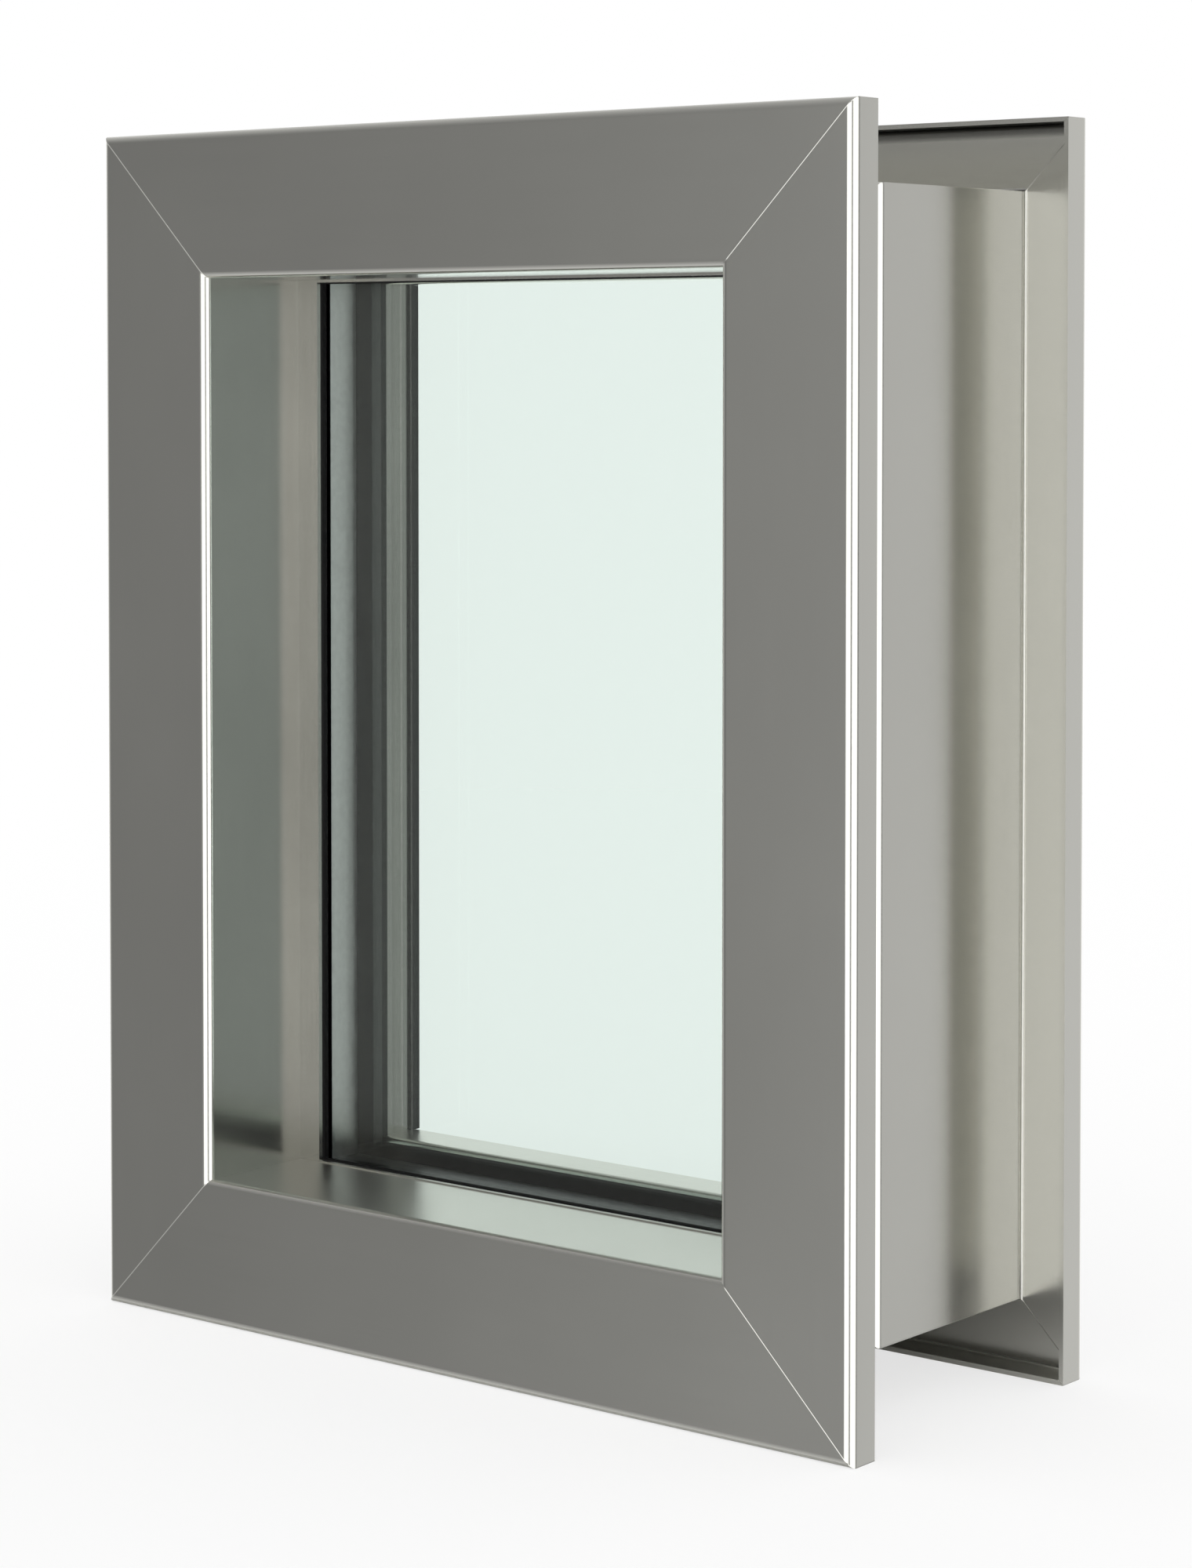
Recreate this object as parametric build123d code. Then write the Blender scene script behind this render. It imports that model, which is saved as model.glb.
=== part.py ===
"""Fixed internal window in a stainless wall frame, built from folded and mitred sheet.

A box frame carries the insulated glass unit and turns out into the rear flange. A casing
with the same face closes the front, and a glazing bead closes the rear.
Millimetres. X runs along the wall, Y from the front to the rear, Z up.
The origin is the middle of the underside.
"""
import os

from build123d import *

# Overall size of the frame
WIDTH = 390.0
HEIGHT = 500.0
DEPTH = 160.0

# Folded stainless sheet
SHEET = 2.0
BEND_RADIUS = 1.4
LIP = 15.0
FACE = 61.0
BOX_INSET = 28.0
FRONT_REVEAL = 56.0

# How far the front stops reach into the opening past the front reveals
STOP_JAMB = 11.0
STOP_SILL = 0.5
STOP_HEAD = 1.0

# How far the rear bead reaches into the opening past the front stops
BEAD_STEP = 6.0
BEAD_STEP_HEAD = 0.5

# Fixing angle behind the front casing
ANGLE_LEG = 15.0
ANGLE_SHEET = 2.0
ANGLE_CORNER_GAP = 12.0

# Rear bead, set in from the rear of the box frame
BEAD_SETBACK = 42.0
BEAD_LEG = 20.0
BEAD_RETURN = 14.0

# Insulated glass unit
PANE = 6.0
CAVITY = 16.0
EDGE_COVER = 14.5
ARRIS = 0.5
SPACER_SIGHT = 1.0
SPACER_HEIGHT = 6.5
SPACER_SHOULDER = 2.5
SPACER_WALL = 0.6

# Gaskets between the stops and the glass
GASKET = 4.0
GASKET_WIDTH = 12.0
GASKET_NOSE = 0.6
GASKET_ROUND = 1.3

# Setting blocks under the glass unit
BLOCK_LENGTH = 60.0
BLOCK_SPAN = 130.0

UNIT = 2 * PANE + CAVITY
STOP_FRONT = FRONT_REVEAL
UNIT_FRONT = STOP_FRONT + SHEET + GASKET
UNIT_REAR = UNIT_FRONT + UNIT
BEAD_FRONT = UNIT_REAR + GASKET
BEAD_REAR = DEPTH - BEAD_SETBACK

HORIZONTAL = ("left", "right")
VERTICAL = ("bottom", "top")
SIDES = HORIZONTAL + VERTICAL
FRONT_TIP = {
    "left": FACE + STOP_JAMB,
    "right": FACE + STOP_JAMB,
    "bottom": FACE + STOP_SILL,
    "top": FACE + STOP_HEAD,
}
REAR_TIP = {
    "left": FRONT_TIP["left"] + BEAD_STEP,
    "right": FRONT_TIP["right"] + BEAD_STEP,
    "bottom": FRONT_TIP["bottom"] + BEAD_STEP,
    "top": FRONT_TIP["top"] + BEAD_STEP_HEAD,
}

# Each side's section is drawn with x inwards from the outer edge and y back from the face
SECTION_PLANE = {
    "left": Plane((-WIDTH / 2, -DEPTH / 2, HEIGHT / 2), (1, 0, 0), (0, 0, 1)),
    "right": Plane((WIDTH / 2, -DEPTH / 2, HEIGHT / 2), (-1, 0, 0), (0, 0, -1)),
    "bottom": Plane((0, -DEPTH / 2, 0), (0, 0, 1), (-1, 0, 0)),
    "top": Plane((0, -DEPTH / 2, HEIGHT), (0, 0, -1), (1, 0, 0)),
}


def even_ring(inset):
    """The same inset from the outer edge on all four sides."""
    return {side: inset for side in SIDES}


def tip_ring(tips, outward=0.0):
    """The edge of an opening between stops, or a line that far outside it."""
    return {side: tips[side] - outward for side in SIDES}


def corner(across, upright, ring):
    """Corner of a ring, seen from the front."""
    x = WIDTH / 2 - ring[across]
    z = ring[upright]
    return (x if across == "right" else -x, HEIGHT - z if upright == "top" else z)


def corners_of(side):
    """The two corners at which a side ends."""
    if side in HORIZONTAL:
        return [(side, upright) for upright in VERTICAL]
    return [(across, side) for across in HORIZONTAL]


def mitred(side, section, rings):
    """One side of a frame: its section run past both corners and cut along the mitres."""
    first, last = corners_of(side)
    outline = [corner(*first, ring) for ring in rings]
    outline += [corner(*last, ring) for ring in reversed(rings)]
    region = extrude(Plane.XZ * make_face(Polyline(*outline, close=True)), DEPTH, both=True)
    run = extrude(SECTION_PLANE[side] * section, (WIDTH + HEIGHT) / 2, both=True)
    return run & region


def right_of(start, end):
    """Unit vector to the right of a straight run."""
    run = (end - start).normalized()
    return Vector(run.Y, -run.X)


def folded_sheet(path, thickness=SHEET):
    """Section of a sheet folded along a path, with the sheet to the right of the path."""
    points = [Vector(*point) for point in path]
    normals = [right_of(a, b) for a, b in zip(points, points[1:])]
    other = [points[0] + normals[0] * thickness]
    near_radii = []
    far_radii = []
    for point, before, after in zip(points[1:], normals, normals[1:]):
        other.append(point + (before + after) * (thickness / (1 + before.dot(after))))
        turns_right = before.cross(after).Z < 0
        near_radii.append(BEND_RADIUS + thickness * turns_right)
        far_radii.append(BEND_RADIUS + thickness * (not turns_right))
    other.append(points[-1] + normals[-1] * thickness)
    near = FilletPolyline(*points, radius=near_radii)
    far = FilletPolyline(*other, radius=far_radii)
    return make_face(near + Line(near @ 1, far @ 1) + far + Line(far @ 0, near @ 0))


def block_section(low, high):
    """Plain rectangle between two corners."""
    (x0, y0), (x1, y1) = low, high
    return Pos((x0 + x1) / 2, (y0 + y1) / 2) * Rectangle(x1 - x0, y1 - y0)


def front_casing(side):
    """Reveal, face and lip of the front casing, one folded sheet."""
    path = [(FACE, FRONT_REVEAL), (FACE, 0), (0, 0), (0, LIP)]
    return mitred(side, folded_sheet(path), [even_ring(0), even_ring(FACE)])


def box_frame(side):
    """Rear lip, flange, outer wall and front stop of the box frame, one folded sheet."""
    wall = BOX_INSET + SHEET
    stop = STOP_FRONT + SHEET
    path = [(0, DEPTH - LIP), (0, DEPTH), (wall, DEPTH), (wall, stop), (FRONT_TIP[side], stop)]
    rings = [even_ring(0), even_ring(BOX_INSET), tip_ring(FRONT_TIP)]
    return mitred(side, folded_sheet(path), rings)


def rear_bead(side):
    """Outer leg, face, reveal and gasket leg of the glazing bead, one folded sheet."""
    outer = BOX_INSET + SHEET
    inner = REAR_TIP[side]
    path = [(outer, BEAD_REAR - BEAD_LEG), (outer, BEAD_REAR), (inner, BEAD_REAR)]
    path += [(inner, BEAD_FRONT), (inner - BEAD_RETURN, BEAD_FRONT)]
    rings = [even_ring(outer), tip_ring(REAR_TIP)]
    return mitred(side, folded_sheet(path), rings)


def fixing_angle(side):
    """Angle in the corner between the front casing's reveal and the box frame."""
    seat = FACE - SHEET
    path = [(seat - ANGLE_LEG, FRONT_REVEAL), (seat, FRONT_REVEAL), (seat, FRONT_REVEAL - ANGLE_LEG)]
    span = WIDTH if side in VERTICAL else HEIGHT
    half = span / 2 - FACE - ANGLE_CORNER_GAP
    return extrude(SECTION_PLANE[side] * folded_sheet(path, ANGLE_SHEET), half, both=True)


def gasket(side, tips, start):
    """Flat gasket with a rounded nose that shows past the stop or bead."""
    tip = tips[side] + GASKET_NOSE
    strip = block_section((tips[side] - GASKET_WIDTH, start), (tip, start + GASKET))
    strip = fillet(strip.vertices().group_by(Axis.X)[-1], GASKET_ROUND)
    return mitred(side, strip, [tip_ring(tips, GASKET_WIDTH), tip_ring(tips, -GASKET_NOSE)])


def pane(start):
    """One sheet of glass with its edges taken off."""
    edge = tip_ring(FRONT_TIP, EDGE_COVER)
    left, bottom = corner("left", "bottom", edge)
    right, top = corner("right", "top", edge)
    middle = ((left + right) / 2, start + PANE / 2 - DEPTH / 2, (bottom + top) / 2)
    sheet = Pos(*middle) * Box(right - left, PANE, top - bottom)
    return chamfer(sheet.edges(), ARRIS)


def spacer_outline(side):
    """Outside of the spacer bar: flat towards the opening, with shoulders on its back."""
    sight = FRONT_TIP[side] - SPACER_SIGHT
    back = sight - SPACER_HEIGHT
    start = UNIT_FRONT + PANE
    bar = block_section((back, start), (sight, start + CAVITY))
    return chamfer(bar.vertices().group_by(Axis.X)[0], SPACER_SHOULDER)


def spacer(side):
    """Hollow spacer bar that holds the two panes apart."""
    outside = spacer_outline(side)
    bar = outside - offset(outside, -SPACER_WALL)
    rings = [tip_ring(FRONT_TIP, SPACER_SIGHT + SPACER_HEIGHT), tip_ring(FRONT_TIP, SPACER_SIGHT)]
    return mitred(side, bar, rings)


def edge_seal(side):
    """Sealant behind the spacer bar, out to the edge of the glass."""
    edge = FRONT_TIP[side] - EDGE_COVER
    shoulder = FRONT_TIP[side] - SPACER_SIGHT - SPACER_HEIGHT + SPACER_SHOULDER
    start = UNIT_FRONT + PANE
    filled = block_section((edge, start), (shoulder, start + CAVITY))
    rings = [tip_ring(FRONT_TIP, EDGE_COVER), tip_ring(FRONT_TIP, SPACER_SIGHT)]
    return mitred(side, filled - spacer_outline(side), rings)


def setting_block(place):
    """Block that carries the glass unit on the box frame, left or right of the middle."""
    low = BOX_INSET + SHEET
    high = FRONT_TIP["bottom"] - EDGE_COVER
    middle = (UNIT_FRONT + UNIT_REAR) / 2 - DEPTH / 2
    return Pos(place * BLOCK_SPAN / 2, middle, (low + high) / 2) * Box(BLOCK_LENGTH, UNIT, high - low)


def nodes():
    """Every piece of the window under its name."""
    pieces = {}
    for side in SIDES:
        pieces[f"front_casing_{side}"] = front_casing(side)
        pieces[f"box_frame_{side}"] = box_frame(side)
        pieces[f"rear_bead_{side}"] = rear_bead(side)
        pieces[f"fixing_angle_{side}"] = fixing_angle(side)
        pieces[f"front_gasket_{side}"] = gasket(side, FRONT_TIP, STOP_FRONT + SHEET)
        pieces[f"rear_gasket_{side}"] = gasket(side, REAR_TIP, UNIT_REAR)
        pieces[f"spacer_bar_{side}"] = spacer(side)
        pieces[f"edge_seal_{side}"] = edge_seal(side)
    pieces["front_pane"] = pane(UNIT_FRONT)
    pieces["rear_pane"] = pane(UNIT_REAR - PANE)
    pieces["setting_block_left"] = setting_block(-1)
    pieces["setting_block_right"] = setting_block(1)
    return pieces


os.makedirs("parts", exist_ok=True)
for name, shape in nodes().items():
    export_step(shape, f"parts/{name}.step")
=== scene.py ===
# %% [markdown]
# This lesson dresses a fixed internal window: a stainless frame folded from sheet that clasps
# a wall from both sides, with a sealed double-glazed unit in its middle. The solids come
# ready made in their real places, so the lesson adds finishes, the welded corner seams, the
# small fixings, light and a camera.

import math

import bpy
import numpy as np
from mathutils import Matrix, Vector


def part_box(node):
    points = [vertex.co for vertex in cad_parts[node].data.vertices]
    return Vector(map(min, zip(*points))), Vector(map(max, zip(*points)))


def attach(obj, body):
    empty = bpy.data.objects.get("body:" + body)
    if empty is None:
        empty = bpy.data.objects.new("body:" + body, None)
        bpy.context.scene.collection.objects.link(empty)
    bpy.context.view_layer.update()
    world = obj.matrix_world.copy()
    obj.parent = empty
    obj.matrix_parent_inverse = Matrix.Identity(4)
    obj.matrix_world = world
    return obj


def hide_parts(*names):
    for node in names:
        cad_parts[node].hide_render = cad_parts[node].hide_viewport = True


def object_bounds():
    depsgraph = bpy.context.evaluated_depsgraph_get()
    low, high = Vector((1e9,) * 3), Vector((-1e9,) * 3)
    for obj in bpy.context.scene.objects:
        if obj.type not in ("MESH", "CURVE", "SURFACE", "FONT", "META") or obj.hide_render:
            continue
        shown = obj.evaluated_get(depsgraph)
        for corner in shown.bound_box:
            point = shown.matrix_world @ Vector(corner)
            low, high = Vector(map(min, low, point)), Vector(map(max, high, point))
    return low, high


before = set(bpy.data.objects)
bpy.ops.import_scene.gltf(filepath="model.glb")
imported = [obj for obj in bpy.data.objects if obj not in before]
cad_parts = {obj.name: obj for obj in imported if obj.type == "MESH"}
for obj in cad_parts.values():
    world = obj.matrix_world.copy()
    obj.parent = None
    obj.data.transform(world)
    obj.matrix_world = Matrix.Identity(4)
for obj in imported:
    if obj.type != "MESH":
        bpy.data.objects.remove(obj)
cad_low, cad_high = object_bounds()
print("nodes in the frame:", len(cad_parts))

# %% [markdown]
# Every later shape hangs on a few sizes. Most are read back from the solids, so a seam or a
# screw still sits right if the frame is made wider or deeper. Only the sheet's thickness, which
# no bounding box tells, is written here again. All is in metres.

# %% Sizes
MM = 0.001
SHEET = 2.0 * MM
SIDES = ("left", "right", "bottom", "top")

half_width = cad_high.x
height = cad_high.z
rear_y = cad_high.y
face_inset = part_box("front_casing_left")[1].x - cad_low.x
bead_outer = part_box("rear_bead_left")[0].x - cad_low.x
bead_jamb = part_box("rear_bead_left")[1].x - cad_low.x
bead_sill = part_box("rear_bead_bottom")[1].z
bead_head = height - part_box("rear_bead_top")[0].z
bead_rear_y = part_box("rear_bead_left")[1].y
gasket_front_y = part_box("rear_gasket_left")[0].y
gasket_rear_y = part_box("rear_gasket_left")[1].y
angle_front_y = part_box("box_frame_left")[0].y - SHEET
print("face", round(face_inset / MM, 2), "mm")
print("bead", round(bead_jamb / MM, 2), round(bead_sill / MM, 2), "mm")

# %% [markdown]
# A material is a small graph of nodes, and a few helpers keep the graphs short. One adds a
# node and sets its plain values, and one starts a material with one Principled shader. The
# others are the steps that nearly every finish needs: a noise, a sum, a range, a colour ramp
# and relief.

# %% Node helpers
EVEN = (1.0, 1.0, 1.0)


def add_node(tree, kind, values=None, **settings):
    """A new node; settings are its properties and values its unlinked inputs."""
    made = tree.nodes.new(kind)
    for key, value in settings.items():
        setattr(made, key, value)
    for key, value in (values or {}).items():
        made.inputs[key].default_value = value
    return made


def start_material(name, **values):
    """A material with one Principled shader whose uniform values sit on its own sockets."""
    material = bpy.data.materials.new(name)
    material.use_nodes = True
    tree = material.node_tree
    shader = tree.nodes["Principled BSDF"]
    for key, value in values.items():
        shader.inputs[key.replace("_", " ")].default_value = value
    return material, tree, shader


def object_noise(tree, stretch, scale, detail=3.0, roughness=0.5):
    """Noise on Object coordinates, drawn out by a stretch along each axis."""
    place = add_node(tree, "ShaderNodeTexCoord")
    mapping = add_node(tree, "ShaderNodeMapping", {"Scale": stretch})
    values = {"Scale": scale, "Detail": detail, "Roughness": roughness}
    noise = add_node(tree, "ShaderNodeTexNoise", values)
    tree.links.new(place.outputs["Object"], mapping.inputs["Vector"])
    tree.links.new(mapping.outputs["Vector"], noise.inputs["Vector"])
    return noise.outputs["Fac"]


def math_node(tree, operation, first, second=0.0):
    """One Math node; an input is a number or another node's output."""
    node = add_node(tree, "ShaderNodeMath", operation=operation)
    for socket, value in zip(node.inputs, (first, second)):
        if isinstance(value, (int, float)):
            socket.default_value = value
        else:
            tree.links.new(value, socket)
    return node.outputs[0]


def ranged(tree, value, low, high, start=0.3, end=0.7):
    """A factor mapped from a stretch of the noise to a range of values."""
    values = {"From Min": start, "From Max": end, "To Min": low, "To Max": high}
    node = add_node(tree, "ShaderNodeMapRange", values)
    tree.links.new(value, node.inputs["Value"])
    return node.outputs["Result"]


def ramp(tree, value, stops):
    """A colour ramp through (position, colour) stops."""
    node = add_node(tree, "ShaderNodeValToRGB")
    elements = node.color_ramp.elements
    elements[0].position = stops[0][0]
    elements[1].position = stops[-1][0]
    for position, _ in stops[1:-1]:
        elements.new(position)
    for element, (_, colour) in zip(elements, stops):
        element.color = (*colour, 1.0)
    tree.links.new(value, node.inputs["Fac"])
    return node.outputs["Color"]


def bump(tree, shader, value, depth, strength=1.0):
    """Bump of a real depth in metres, laid over whatever bump the shader has already."""
    node = add_node(tree, "ShaderNodeBump", {"Strength": strength, "Distance": depth})
    tree.links.new(value, node.inputs["Height"])
    for link in shader.inputs["Normal"].links:
        tree.links.new(link.from_socket, node.inputs["Normal"])
    tree.links.new(node.outputs["Normal"], shader.inputs["Normal"])

# %% [markdown]
# The members meet in mitres, which are welded, ground flush and brushed again. What stays is
# a hairline, a ridge thinner than paper that catches the light as one bright line. It is far
# too fine for a mesh, so it is relief in the finish. A mitre runs where a point's share of
# the way in from the side equals its share of the way in from the sill or the head.

# %% Mitre seams
SEAM_HALF = 0.22 * MM
NEARLY_IN = 0.999


def mitre_line(tree, outer, jamb, sill, head):
    """1 on the mitres of a ring between an outer inset and its inner insets, else 0.

    The two shares of the way in are compared, and their difference times the jamb's width
    is about the distance from the mitre. Past the inner edge both shares stay at 1, so the
    line ends just before it.
    """
    place = add_node(tree, "ShaderNodeTexCoord")
    parts = add_node(tree, "ShaderNodeSeparateXYZ")
    tree.links.new(place.outputs["Object"], parts.inputs[0])
    from_middle = math_node(tree, "ABSOLUTE", parts.outputs["X"])
    from_side = math_node(tree, "SUBTRACT", half_width, from_middle)
    from_head = math_node(tree, "SUBTRACT", height, parts.outputs["Z"])
    side_share = ranged(tree, from_side, 0.0, 1.0, start=outer, end=jamb)
    sill_share = ranged(tree, parts.outputs["Z"], 0.0, 1.0, start=outer, end=sill)
    head_share = ranged(tree, from_head, 0.0, 1.0, start=outer, end=head)
    level_share = math_node(tree, "MINIMUM", sill_share, head_share)
    apart = math_node(tree, "ABSOLUTE", math_node(tree, "SUBTRACT", side_share, level_share))
    width = SEAM_HALF * math.sqrt(2.0) / (jamb - outer)
    near = ranged(tree, apart, 1.0, 0.0, start=0.0, end=width)
    within = math_node(tree, "LESS_THAN", side_share, NEARLY_IN)
    return math_node(tree, "MULTIPLY", near, within)

# %% [markdown]
# Two places on the frame get their own treatment. The sill and other upward faces gather dust and
# are wiped, so they are a little duller. How far a face looks up is the upright part of its
# normal. In the fold under the head's rear lip the steel's colour is darkened: painted shade for
# the dark that the lip casts and mirrors into the fold. There the inset from the head picks how
# much of the steel's colour is left.

# %% Dulled faces and the painted shade in the fold
UPWARD_DULLING = 0.14
UPWARD_START = 0.4
UPWARD_END = 0.9
# Painted shade in the head's rear fold: insets from the head and the share of the steel's colour
# kept there.
PAINTED_LIP_SHADE_STOPS = [
    (1.8 * MM, 1.0), (1.9 * MM, 0.03), (2.9 * MM, 0.07),
    (3.5 * MM, 0.32), (5.0 * MM, 0.42), (7.0 * MM, 1.0),
]


def dulled(tree):
    """How much rougher the sill and other upward faces are, from dust and wiping."""
    facing = add_node(tree, "ShaderNodeNewGeometry")
    parts = add_node(tree, "ShaderNodeSeparateXYZ")
    tree.links.new(facing.outputs["Normal"], parts.inputs[0])
    upward = parts.outputs["Z"]
    return ranged(tree, upward, 0.0, UPWARD_DULLING, start=UPWARD_START, end=UPWARD_END)


def painted_lip_shade(tree):
    """Share of the steel's colour left by the painted shade in the head's rear fold.

    The inset from the head picks a shade between PAINTED_LIP_SHADE_STOPS, and only points in
    front of the flange's rear face take it.
    """
    place = add_node(tree, "ShaderNodeTexCoord")
    parts = add_node(tree, "ShaderNodeSeparateXYZ")
    tree.links.new(place.outputs["Object"], parts.inputs[0])
    from_head = math_node(tree, "SUBTRACT", height, parts.outputs["Z"])
    share = ranged(tree, from_head, 0.0, 1.0, start=0.0, end=PAINTED_LIP_SHADE_STOPS[-1][0])
    stops = [(inset / PAINTED_LIP_SHADE_STOPS[-1][0], (shade,) * 3) for inset, shade in PAINTED_LIP_SHADE_STOPS]
    behind = math_node(tree, "GREATER_THAN", parts.outputs["Y"], rear_y - SHEET / 2)
    return math_node(tree, "MAXIMUM", ramp(tree, share, stops), behind)

# %% [markdown]
# The frame is satin stainless sheet. On the real thing an abrasive belt leaves hair-fine
# lines that run along each member, and the lines turn with the member at the mitre. Drawing
# out a noise along one axis gives such lines, so there is one finish for the upright members
# and one for the level ones. A slow, wide noise varies the gloss a little, as hands do.

# %% Satin stainless
STEEL = (0.63, 0.626, 0.585)
STEEL_DARK = (0.615, 0.611, 0.571)
LINE_DEPTH = 0.001 * MM
LINE_RELIEF = 0.5
LINE_GLOSS = 0.01
CLOUD_SCALE = 9.0
SEAM_RISE = 0.075 * MM


def satin_steel(name, stretch, mitre, gloss_range, paints_lip_shade=False):
    """Brushed steel whose lines run along the axis with the small stretch."""
    material, tree, shader = start_material(name, Metallic=1.0)
    lines = object_noise(tree, stretch, 1.0, detail=4.0, roughness=0.65)
    clouds = object_noise(tree, EVEN, CLOUD_SCALE)
    tint = ramp(tree, lines, [(0.25, STEEL_DARK), (0.75, STEEL)])
    if paints_lip_shade:
        # The fold under the head's rear lip gets painted shade.
        shaded = add_node(tree, "ShaderNodeVectorMath", operation="MULTIPLY")
        tree.links.new(tint, shaded.inputs[0])
        tree.links.new(painted_lip_shade(tree), shaded.inputs[1])
        tint = shaded.outputs["Vector"]
    tree.links.new(tint, shader.inputs["Base Color"])
    line_gloss = ranged(tree, lines, -LINE_GLOSS, LINE_GLOSS)
    gloss = math_node(tree, "ADD", line_gloss, ranged(tree, clouds, *gloss_range))
    tree.links.new(math_node(tree, "ADD", gloss, dulled(tree)), shader.inputs["Roughness"])
    bump(tree, shader, lines, LINE_DEPTH, strength=LINE_RELIEF)
    bump(tree, shader, mitre_line(tree, *mitre), SEAM_RISE)
    return material

# %% [markdown]
# Each group of members gets the same sheet with its own gloss and its own mitres: the bead's
# run between its outer leg and its opening, and all others between the outer edge and the
# face's inner edge. The stretch of the noise is small along a member and large across it.

# %% Steel finishes
LINE_LENGTH = 12.0
LINE_WIDTH = 1800.0
ALONG = {
    "level": (LINE_LENGTH, LINE_WIDTH, LINE_WIDTH),
    "upright": (LINE_WIDTH, LINE_WIDTH, LINE_LENGTH),
}
FRAME_MITRE = (0.0, face_inset, face_inset, face_inset)
BEAD_MITRE = (bead_outer, bead_jamb, bead_sill, bead_head)
CASING_GLOSS = (0.165, 0.20)
BOX_GLOSS = (0.205, 0.235)
STEEL_GROUPS = {
    "front_casing": (FRAME_MITRE, CASING_GLOSS),
    "box_frame": (FRAME_MITRE, BOX_GLOSS),
    "rear_bead": (BEAD_MITRE, CASING_GLOSS),
    "fixing_angle": (FRAME_MITRE, BOX_GLOSS),
}
# Only the level box frame carries the painted shade in the fold.
LIP_SHADE_GROUP = ("box_frame", "level")
steel = {
    (group, run): satin_steel(
        f"steel_{group}_{run}", ALONG[run], *finish, paints_lip_shade=(group, run) == LIP_SHADE_GROUP)
    for group, finish in STEEL_GROUPS.items() for run in ALONG}
print("steel finishes:", len(steel))

# %% [markdown]
# The other materials are plainer. The gaskets are extruded rubber, matt and almost black.
# The spacer bar is thin rolled metal with a dull skin. Its level bars take a much darker copy of
# that metal: painted shade, for how far darker the bar looks at the sill. The sealant is a tooled
# paste and the setting blocks are moulded plastic. One helper makes them all: a fine noise moves
# the colour, the gloss and the relief together.

# %% Rubber, spacer metal, sealant and blocks
MOTTLE_GLOSS = 0.06


def speckled(name, dark, light, roughness, grain, depth, metallic=0.0, specular=0.5):
    """A dull material with a fine mottle in colour, gloss and relief."""
    material, tree, shader = start_material(name, Metallic=metallic, Specular_IOR_Level=specular)
    mottle = object_noise(tree, EVEN, grain, detail=4.0)
    tree.links.new(ramp(tree, mottle, [(0.3, dark), (0.7, light)]), shader.inputs["Base Color"])
    gloss = ranged(tree, mottle, roughness - MOTTLE_GLOSS, roughness + MOTTLE_GLOSS)
    tree.links.new(gloss, shader.inputs["Roughness"])
    bump(tree, shader, mottle, depth)
    return material


# Painted shade: a darker copy of the spacer metal for the level spacer bars.
spacer_painted_dark = speckled(
    "spacer_painted_dark", (0.10, 0.10, 0.10), (0.13, 0.13, 0.13), 0.40, 400.0, 0.01 * MM, metallic=1.0)
rubber = speckled(
    "gasket_rubber", (0.008, 0.008, 0.008), (0.013, 0.013, 0.013), 0.7, 900.0, 0.02 * MM,
    specular=0.12)
spacer_metal = speckled(
    "spacer_metal", (0.72, 0.72, 0.71), (0.80, 0.80, 0.79), 0.36, 400.0, 0.01 * MM, metallic=1.0)
sealant = speckled(
    "edge_sealant", (0.030, 0.030, 0.031), (0.045, 0.045, 0.046), 0.55, 300.0, 0.1 * MM)
block_plastic = speckled(
    "setting_block_plastic", (0.020, 0.022, 0.024), (0.030, 0.032, 0.034), 0.5, 500.0, 0.03 * MM)
print("dull materials:", len(bpy.data.materials) - len(steel))

# %% [markdown]
# The panes are clear float glass, whose faint green comes from the iron in it. The colour is
# even, so it sits on the shader's own socket. What makes a pane look like glass and not like
# air is its mirror image, so a slow, faint ripple bends that a little.

# %% Float glass
GLASS_TINT = (0.935, 0.988, 0.962, 1.0)
RIPPLE_SCALE = 6.0
RIPPLE_DEPTH = 0.02 * MM
RIPPLE_RELIEF = 0.1


def float_glass():
    """Clear glass with a faint green tint and a slow ripple in its surface."""
    material, tree, shader = start_material(
        "float_glass", Base_Color=GLASS_TINT, Roughness=0.0, IOR=1.5, Transmission_Weight=1.0)
    ripple = object_noise(tree, EVEN, RIPPLE_SCALE, detail=1.0)
    bump(tree, shader, ripple, RIPPLE_DEPTH, strength=RIPPLE_RELIEF)
    return material


glass = float_glass()
print("materials:", len(bpy.data.materials))

# %% [markdown]
# Each solid gets its finish by name. The level members of the frame are those at the top and the
# bottom, and the upright ones are those at the left and the right. The two level spacer bars take
# the darker copy of the spacer metal, painted shade, after the round of the sides.

# %% Dress the solids
FINISH = {
    "front_gasket": rubber,
    "rear_gasket": rubber,
    "spacer_bar": spacer_metal,
    "edge_seal": sealant,
}
RUN = {"left": "upright", "right": "upright", "bottom": "level", "top": "level"}


def dress(node, material):
    """Puts one material on a solid."""
    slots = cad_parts[node].data.materials
    slots.clear()
    slots.append(material)


for side in SIDES:
    for group, material in FINISH.items():
        dress(f"{group}_{side}", material)
    for group in STEEL_GROUPS:
        dress(f"{group}_{side}", steel[group, RUN[side]])
# The level spacer bars take the painted-shade copy of the spacer metal.
for node in ("spacer_bar_bottom", "spacer_bar_top"):
    dress(node, spacer_painted_dark)
for node in ("front_pane", "rear_pane"):
    dress(node, glass)
for node in ("setting_block_left", "setting_block_right"):
    dress(node, block_plastic)

# %% [markdown]
# New pieces are surfaces worked out as arrays. All of them start as a closed outline or a
# grid of points, so a few helpers serve them all. One makes sure that the faces point
# outwards: the volume under all the triangles is summed, and if the sum is negative every
# face is turned round. One turns arrays into an object, one joins a grid's neighbours into
# quads, and one rounds the corner of an outline.

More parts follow.
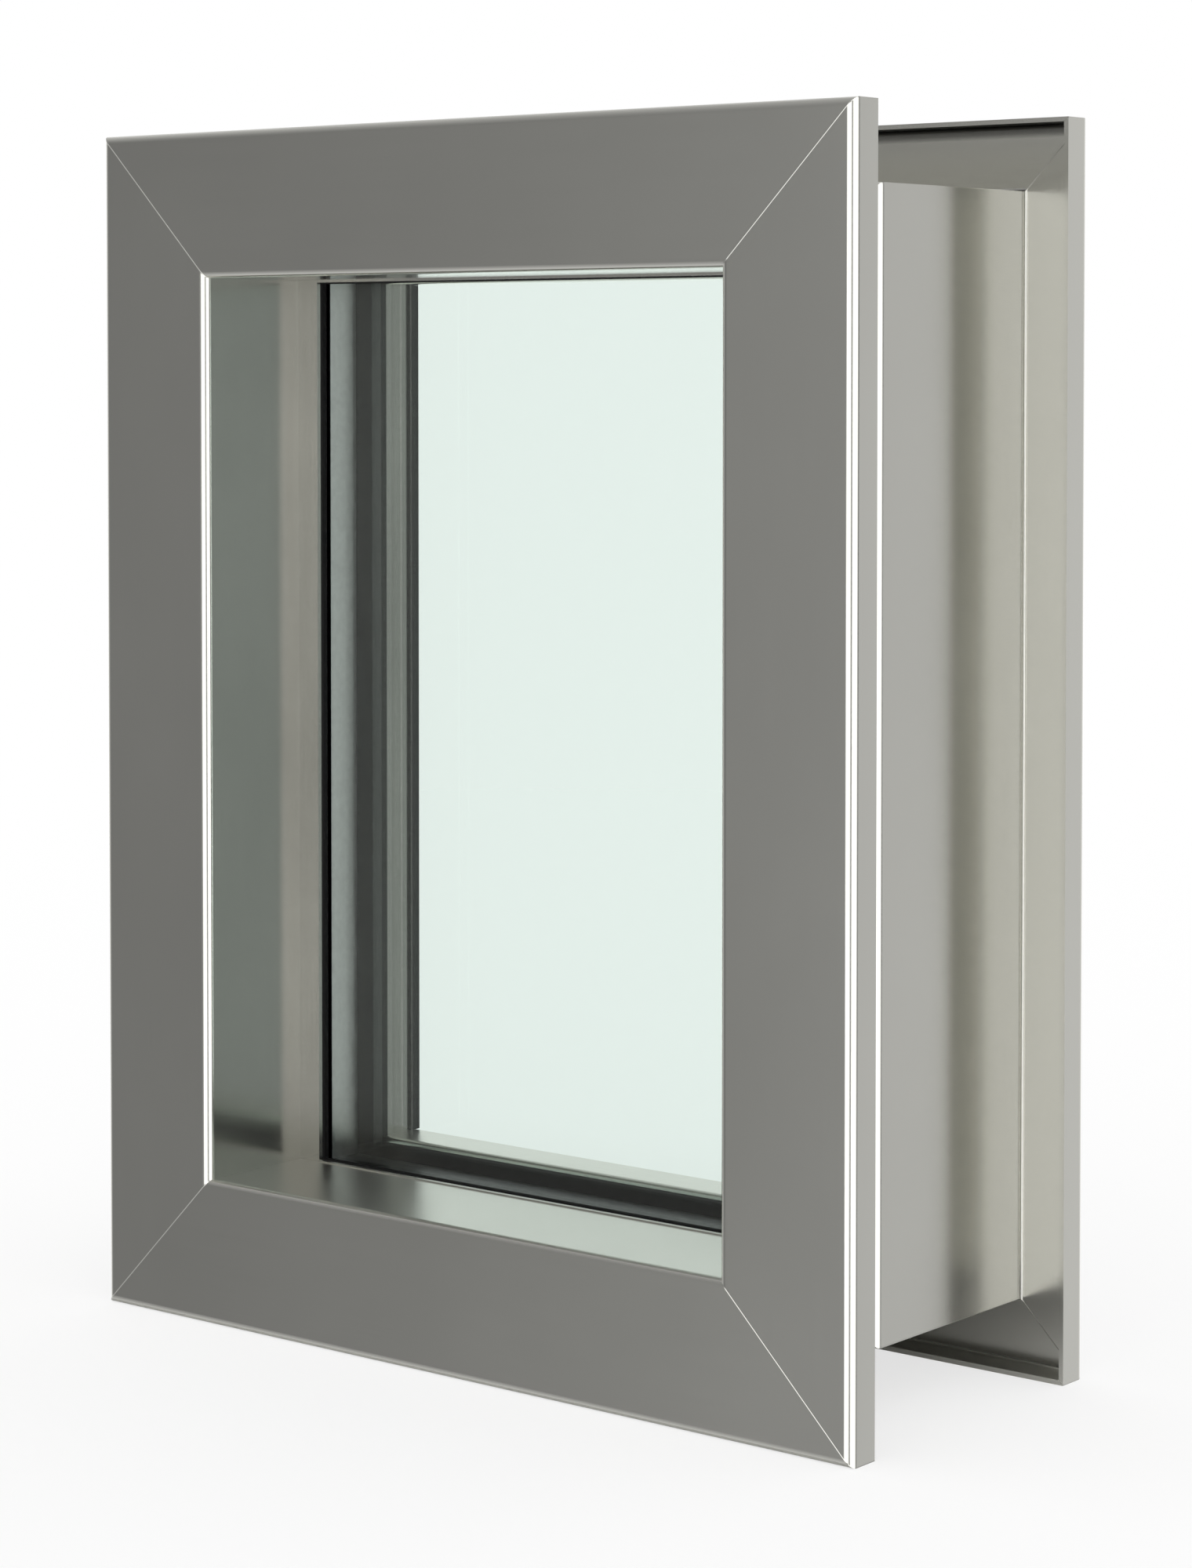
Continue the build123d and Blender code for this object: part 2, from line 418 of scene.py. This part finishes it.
# %% Mesh helpers
def outward(vertices, faces):
    """The faces, all turned round if the volume that they close comes out negative.

    Each face is a fan of triangles, and a triangle's volume to the origin is a sixth of its
    first corner times the cross product of the other two.
    """
    fans = [(face[0], *pair) for face in faces for pair in zip(face[1:], face[2:])]
    first, second, third = (vertices[list(corner)] for corner in zip(*fans))
    volume = np.sum(first * np.cross(second, third)) / 6.0
    return faces if volume > 0 else [tuple(reversed(face)) for face in faces]


def add_piece(name, vertices, faces, material):
    """A piece of the window at the origin that moves with the frame."""
    mesh = bpy.data.meshes.new(name)
    mesh.from_pydata(vertices.tolist(), [], outward(vertices, faces))
    mesh.materials.append(material)
    mesh.validate()
    made = bpy.data.objects.new(name, mesh)
    bpy.context.scene.collection.objects.link(made)
    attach(made, "root")
    print(name, len(vertices), "points,", len(faces), "faces")
    return made


def grid_quads(rows, columns, close_rows=False):
    """Quads between neighbours of a grid whose columns close into a ring."""
    last = rows if close_rows else rows - 1
    row, column = np.divmod(np.arange(last * columns), columns)
    below, beside = (row + 1) % rows, (column + 1) % columns
    quads = (
        row * columns + column, row * columns + beside,
        below * columns + beside, below * columns + column)
    return list(zip(*(part.tolist() for part in quads)))


def arc(centre, radius, start, end, steps=6):
    """Points of an arc: the centre plus the radius times cosine and sine, angles in degrees."""
    angle = np.radians(np.linspace(start, end, steps))
    x, y = centre
    return np.stack([x + radius * np.cos(angle), y + radius * np.sin(angle)], axis=1)

# %% [markdown]
# The rear gasket is a strip of rubber squeezed between the glass and the bead. At the jambs
# its lip wraps the bead's front bend, and at the sill and the head it stays a little behind,
# so the bend shows there as a soft edge. The mitred ring is one outline carried round the
# four corners of the opening: each corner holds a copy of the outline, pushed inwards by how
# far each point lies past the bead's edge.

# %% Rear gasket
GASKET_PAST = 0.6 * MM
GASKET_REACH = 11.0 * MM
GASKET_LIP = 3.8 * MM
LIP_THICKNESS = 1.2 * MM
NOSE = 1.3 * MM
LEVEL_SETBACK = 2.6 * MM


def mitred_ring(outline):
    """A closed outline carried round the bead's opening.

    Each outline point is (past the bead's edge, depth). In a corner its x is the jamb's edge
    plus that much, and its z the sill's or the head's edge plus that much less a setback.
    """
    past, depth = outline[:, 0], outline[:, 1]
    right = half_width - bead_jamb - past
    low = bead_sill + past - LEVEL_SETBACK
    high = height - bead_head - past + LEVEL_SETBACK
    corners = [(-right, low), (right, low), (right, high), (-right, high)]
    points = np.stack([np.stack([x, depth, z], axis=1) for x, z in corners])
    return points.reshape(-1, 3), grid_quads(4, len(outline), close_rows=True)


lip_rear_y = gasket_rear_y + GASKET_LIP
gasket_outline = np.concatenate([
    [(-GASKET_REACH, gasket_front_y)],
    arc((GASKET_PAST - NOSE, gasket_front_y + NOSE), NOSE, -90, 0),
    [(GASKET_PAST, lip_rear_y), (GASKET_PAST - LIP_THICKNESS, lip_rear_y)],
    [(GASKET_PAST - LIP_THICKNESS, gasket_rear_y), (-GASKET_REACH, gasket_rear_y)],
])
rear_gasket = add_piece("rear_gasket_ring", *mitred_ring(gasket_outline), rubber)
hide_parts(*(f"rear_gasket_{side}" for side in SIDES))

# %% [markdown]
# A dark rubber strip lies on the rear end of each jamb of the bead as a painted reflection: it
# stands in for the sharp, nearly black band that the steel mirrors there, at the left of the
# glass. It is a bar with two rounded corners that lies flat on the reveal, from the bead's sill
# to its head.

# %% Painted reflection strips
STRIP_WIDTH = 5.5 * MM
STRIP_THICKNESS = 1.5 * MM
STRIP_ROUND = 0.6 * MM


def dark_reflection_strip(name, sign):
    """A painted reflection: a section in x and y carried straight up from the bead's sill to its
    head.

    The section is a rectangle on the reveal whose two free corners are arcs.
    """
    seat = half_width - bead_jamb
    free = seat - STRIP_THICKNESS + STRIP_ROUND
    front = bead_rear_y - STRIP_WIDTH
    outline = np.concatenate([
        [(seat, front)],
        arc((free, front + STRIP_ROUND), STRIP_ROUND, 270, 180),
        arc((free, bead_rear_y - STRIP_ROUND), STRIP_ROUND, 180, 90),
        [(seat, bead_rear_y)],
    ])
    across, depth = sign * outline[:, 0], outline[:, 1]
    count = len(outline)
    points = np.stack([
        np.stack([across, depth, np.full(count, z)], axis=1)
        for z in (bead_sill, height - bead_head)])
    caps = [tuple(range(count)), tuple(range(2 * count - 1, count - 1, -1))]
    made = add_piece(name, points.reshape(-1, 3), grid_quads(2, count) + caps, rubber)


# Painted reflection: a dark strip on each jamb of the bead.
dark_reflection_strip("bead_dark_reflection_strip_left", -1.0)
dark_reflection_strip("bead_dark_reflection_strip_right", 1.0)

# %% [markdown]
# Button head screws hold the bead from the rear and the fixing angles from the front. A head
# is a low dome with a six-sided recess for the key. The dome is a quarter ellipse turned
# round its axis. The recess keeps its six sides because its radius changes with the angle:
# half the width across flats, divided by the cosine of the angle to the nearest flat.

# %% Screw heads
HEAD_RADIUS = 3.8 * MM
HEAD_RISE = 2.2 * MM
KEY_HALF = 1.25 * MM
KEY_DEPTH = 1.3 * MM
HEAD_STEPS = 36
DOME_STEPS = 7
SCREW_INSET = 40.0 * MM
ANGLE_SCREW_INSET = 50.0 * MM
UPRIGHT_SHARES = (0.26, 0.5, 0.74)
LEVEL_SHARE = 0.36
DOME_TOP = math.radians(62.0)


def button_head():
    """Points and faces of one head that stands on z = 0.

    A dome ring has the radius R cos(a) and the height H sin(a). Two rings of six-sided
    radius make the rim and the floor of the recess, and a point closes the floor.
    """
    turn = np.linspace(0.0, 2.0 * math.pi, HEAD_STEPS, endpoint=False)
    sixth = math.pi / 3.0
    six_sided = KEY_HALF / np.cos(np.mod(turn, sixth) - sixth / 2.0)
    lift = np.linspace(0.0, DOME_TOP, DOME_STEPS)
    radius = [np.full(HEAD_STEPS, HEAD_RADIUS * math.cos(a)) for a in lift]
    rise = [HEAD_RISE * math.sin(a) for a in lift]
    radius += [six_sided, six_sided]
    rise += [rise[-1], rise[-1] - KEY_DEPTH]
    rings = np.stack([
        np.stack([r * np.cos(turn), r * np.sin(turn), np.full(HEAD_STEPS, z)], axis=1)
        for r, z in zip(radius, rise)])
    count = len(rings)
    points = np.concatenate([rings.reshape(-1, 3), [(0.0, 0.0, rise[-1])]])
    first = (count - 1) * HEAD_STEPS
    centre = len(points) - 1
    floor_fan = [(first + i, first + (i + 1) % HEAD_STEPS, centre) for i in range(HEAD_STEPS)]
    seat = [tuple(range(HEAD_STEPS - 1, -1, -1))]
    return points, grid_quads(count, HEAD_STEPS) + floor_fan + seat


def screw_row(inset):
    """Places (x, z) of screws: three on each upright side, two on each level one."""
    x = half_width - inset
    uprights = [(sign * x, height * share) for sign in (-1, 1) for share in UPRIGHT_SHARES]
    level_x = half_width * LEVEL_SHARE
    levels = [(sign * level_x, z) for sign in (-1, 1) for z in (inset, height - inset)]
    return uprights + levels


def screw_heads(name, places, seat_y, facing):
    """Copies of one head on a plane across y, all facing the same way."""
    head, faces = button_head()
    stood = np.stack([head[:, 0], seat_y + facing * head[:, 2], head[:, 1]], axis=1)
    points = np.concatenate([stood + np.array([x, 0.0, z]) for x, z in places])
    starts = [k * len(head) for k in range(len(places))]
    joined = [tuple(i + start for i in face) for start in starts for face in faces]
    made = add_piece(name, points, joined, screw_steel)


screw_steel = speckled(
    "screw_steel", (0.52, 0.52, 0.50), (0.60, 0.60, 0.58), 0.30, 700.0, 0.005 * MM, metallic=1.0)
screw_heads("bead_screws", screw_row(SCREW_INSET), bead_rear_y, 1.0)
screw_heads("angle_screws", screw_row(ANGLE_SCREW_INSET), angle_front_y, -1.0)

# %% [markdown]
# Polished sheet has hardly a colour of its own: what it shows is the studio round it. The
# bends show it best. Each turns from the front to the right, so it sweeps past the whole
# right half of the studio and draws it as one bright line. The flat faces each mirror one
# narrow direction: the front faces the front left, the jambs the rear right.
#
# So the studio is a ring of soft light whose strength changes round the horizon. Its angle is
# the arctangent of a direction, turned into a share of a full turn, and a ramp holds the
# strengths. Towards the zenith and the ground it eases to one level.

# %% Studio ring
RING = [
    (0, 2.1), (22, 2.1), (37, 0.38), (51, 0.16), (54, 0.76), (62, 0.86), (100, 1.2),
    (160, 1.35), (200, 0.42), (212, 0.23), (226, 0.225), (236, 0.33), (246, 0.5),
    (253, 2.1), (293, 2.1), (303, 1.4), (308, 0.34), (320, 0.26), (323, 2.1), (360, 2.1),
]
RING_TOP = 2.4
ZENITH_LEVEL = 0.45
GROUND_LEVEL = 0.75
EASE_START = 0.25
EASE_END = 0.85
MATT_LEVEL = 1.07


def mixed(tree, factor, first, second):
    """Mix of two numbers, each a value or a socket."""
    node = add_node(tree, "ShaderNodeMix", data_type="FLOAT")
    for key, value in (("Factor", factor), ("A", first), ("B", second)):
        if isinstance(value, (int, float)):
            node.inputs[key].default_value = value
        else:
            tree.links.new(value, node.inputs[key])
    return node.outputs["Result"]


def studio_level(tree, direction):
    """Strength of the studio in a direction, as a socket."""
    parts = add_node(tree, "ShaderNodeSeparateXYZ")
    tree.links.new(direction, parts.inputs[0])
    angle = math_node(tree, "ARCTAN2", parts.outputs["Y"], parts.outputs["X"])
    turn = math_node(tree, "FRACT", math_node(tree, "MULTIPLY", angle, 0.5 / math.pi))
    stops = [(degrees / 360.0, (value / RING_TOP,) * 3) for degrees, value in RING]
    ring = math_node(tree, "MULTIPLY", ramp(tree, turn, stops), RING_TOP)
    rise = parts.outputs["Z"]
    upward = ranged(tree, rise, 0.0, 1.0, start=EASE_START, end=EASE_END)
    downward = ranged(tree, rise, 0.0, 1.0, start=-EASE_START, end=-EASE_END)
    toward_top = mixed(tree, upward, ring, ZENITH_LEVEL)
    return mixed(tree, downward, toward_top, GROUND_LEVEL)

# %% [markdown]
# Only what mirrors should see the ring. A photographer hangs a white cloth behind the window
# for the eye, and so does the world here: it asks the Light Path how often a ray was mirrored
# or scattered, and shows white to the eye and through glass, an even light to matt things,
# and the ring to anything that mirrors.

# %% Studio world
def studio_world():
    """White for the eye, through glass and on matt things, and the ring in what mirrors."""
    world = bpy.data.worlds.new("studio")
    world.use_nodes = True
    tree = world.node_tree
    background = tree.nodes["Background"]
    background.inputs["Color"].default_value = (1.0, 1.0, 1.0, 1.0)
    place = add_node(tree, "ShaderNodeTexCoord")
    path = add_node(tree, "ShaderNodeLightPath")
    matt = math_node(tree, "MINIMUM", path.outputs["Diffuse Depth"], 1.0)
    mirrored = math_node(tree, "MINIMUM", path.outputs["Glossy Depth"], 1.0)
    level = mixed(tree, matt, 1.0, MATT_LEVEL)
    level = mixed(tree, mirrored, level, studio_level(tree, place.outputs["Generated"]))
    tree.links.new(level, background.inputs["Strength"])
    return world


bpy.context.scene.world = studio_world()

# %% [markdown]
# The floor is white to the eye and takes the window's soft shadow. Near the window it is part
# matt paint, and further out it glows evenly, so no horizon line shows. In the steel a floor
# would cut the studio off at the height of the feet. So mirrored rays pass through it, but
# for the patch under the frame, which stays painted and keeps the lower channel dark.

# %% Floor
FLOOR_HALF = 12.0
PAINT_SHARE = 0.3
FADE_START = 0.35
FADE_END = 2.0
PAINT = 0.93


def under_frame(tree, place):
    """1 where a point on the floor lies under the frame, else 0."""
    parts = add_node(tree, "ShaderNodeSeparateXYZ")
    tree.links.new(place, parts.inputs[0])
    across = math_node(tree, "ABSOLUTE", parts.outputs["X"])
    along = math_node(tree, "ABSOLUTE", parts.outputs["Y"])
    inside_x = math_node(tree, "LESS_THAN", across, half_width)
    inside_y = math_node(tree, "LESS_THAN", along, rear_y)
    return math_node(tree, "MULTIPLY", inside_x, inside_y)


def floor_material():
    """Glow and matt paint for the eye; clear to mirrored rays away from the frame."""
    material, tree, shader = start_material(
        "studio_floor", Base_Color=(PAINT, PAINT, PAINT, 1.0), Roughness=0.9,
        Specular_IOR_Level=0.0)
    place = add_node(tree, "ShaderNodeTexCoord").outputs["Object"]
    length = add_node(tree, "ShaderNodeVectorMath", operation="LENGTH")
    tree.links.new(place, length.inputs[0])
    distance = length.outputs["Value"]
    paint = ranged(tree, distance, PAINT_SHARE, 0.0, start=FADE_START, end=FADE_END)
    white = add_node(tree, "ShaderNodeEmission", {"Color": (1.0, 1.0, 1.0, 1.0), "Strength": 1.0})
    eye = add_node(tree, "ShaderNodeMixShader")
    tree.links.new(paint, eye.inputs["Fac"])
    tree.links.new(white.outputs["Emission"], eye.inputs[1])
    tree.links.new(shader.outputs["BSDF"], eye.inputs[2])
    path = add_node(tree, "ShaderNodeLightPath")
    mirrored = math_node(tree, "MINIMUM", path.outputs["Glossy Depth"], 1.0)
    beyond = math_node(tree, "SUBTRACT", 1.0, under_frame(tree, place))
    clear = add_node(tree, "ShaderNodeBsdfTransparent")
    away = add_node(tree, "ShaderNodeMixShader")
    tree.links.new(beyond, away.inputs["Fac"])
    tree.links.new(shader.outputs["BSDF"], away.inputs[1])
    tree.links.new(clear.outputs["BSDF"], away.inputs[2])
    pick = add_node(tree, "ShaderNodeMixShader")
    tree.links.new(mirrored, pick.inputs["Fac"])
    tree.links.new(eye.outputs["Shader"], pick.inputs[1])
    tree.links.new(away.outputs["Shader"], pick.inputs[2])
    tree.links.new(pick.outputs["Shader"], tree.nodes["Material Output"].inputs["Surface"])
    return material


def flat_sheet(name, corners, material):
    """One flat quad through four corners."""
    mesh = bpy.data.meshes.new(name)
    mesh.from_pydata(corners, [], [(0, 1, 2, 3)])
    mesh.materials.append(material)
    made = bpy.data.objects.new(name, mesh)
    bpy.context.scene.collection.objects.link(made)
    return made


floor = flat_sheet(
    "studio_floor",
    [(-FLOOR_HALF, -FLOOR_HALF, 0.0), (FLOOR_HALF, -FLOOR_HALF, 0.0),
     (FLOOR_HALF, FLOOR_HALF, 0.0), (-FLOOR_HALF, FLOOR_HALF, 0.0)],
    floor_material())

# %% [markdown]
# The camera repeats the photograph: it stands to the right of the window, at four fifths of
# the window's height, and looks down by two degrees. A long lens from far away keeps the
# uprights nearly parallel. The rest of the framing is a lens shift, as on a view camera.

# %% Camera
IMAGE_HEIGHT = 2000.0
SENSOR = 36.0
FOCAL_PIXELS = 4764.2
HORIZON_ROW = 629.3
CAMERA_TURN = math.radians(39.01)
CAMERA_DIP = math.radians(2.0)
CAMERA_PLACE = (0.9719, -1.1869, 0.4038)

camera_data = bpy.data.cameras.new("photo_camera")
camera_data.sensor_width = SENSOR
camera_data.lens = FOCAL_PIXELS / IMAGE_HEIGHT * SENSOR
camera_data.shift_y = (HORIZON_ROW - IMAGE_HEIGHT / 2) / IMAGE_HEIGHT
camera = bpy.data.objects.new("photo_camera", camera_data)
camera.location = CAMERA_PLACE
camera.rotation_euler = (math.pi / 2 - CAMERA_DIP, 0.0, CAMERA_TURN)
bpy.context.scene.collection.objects.link(camera)
bpy.context.scene.camera = camera
bpy.context.scene.view_settings.view_transform = "Standard"
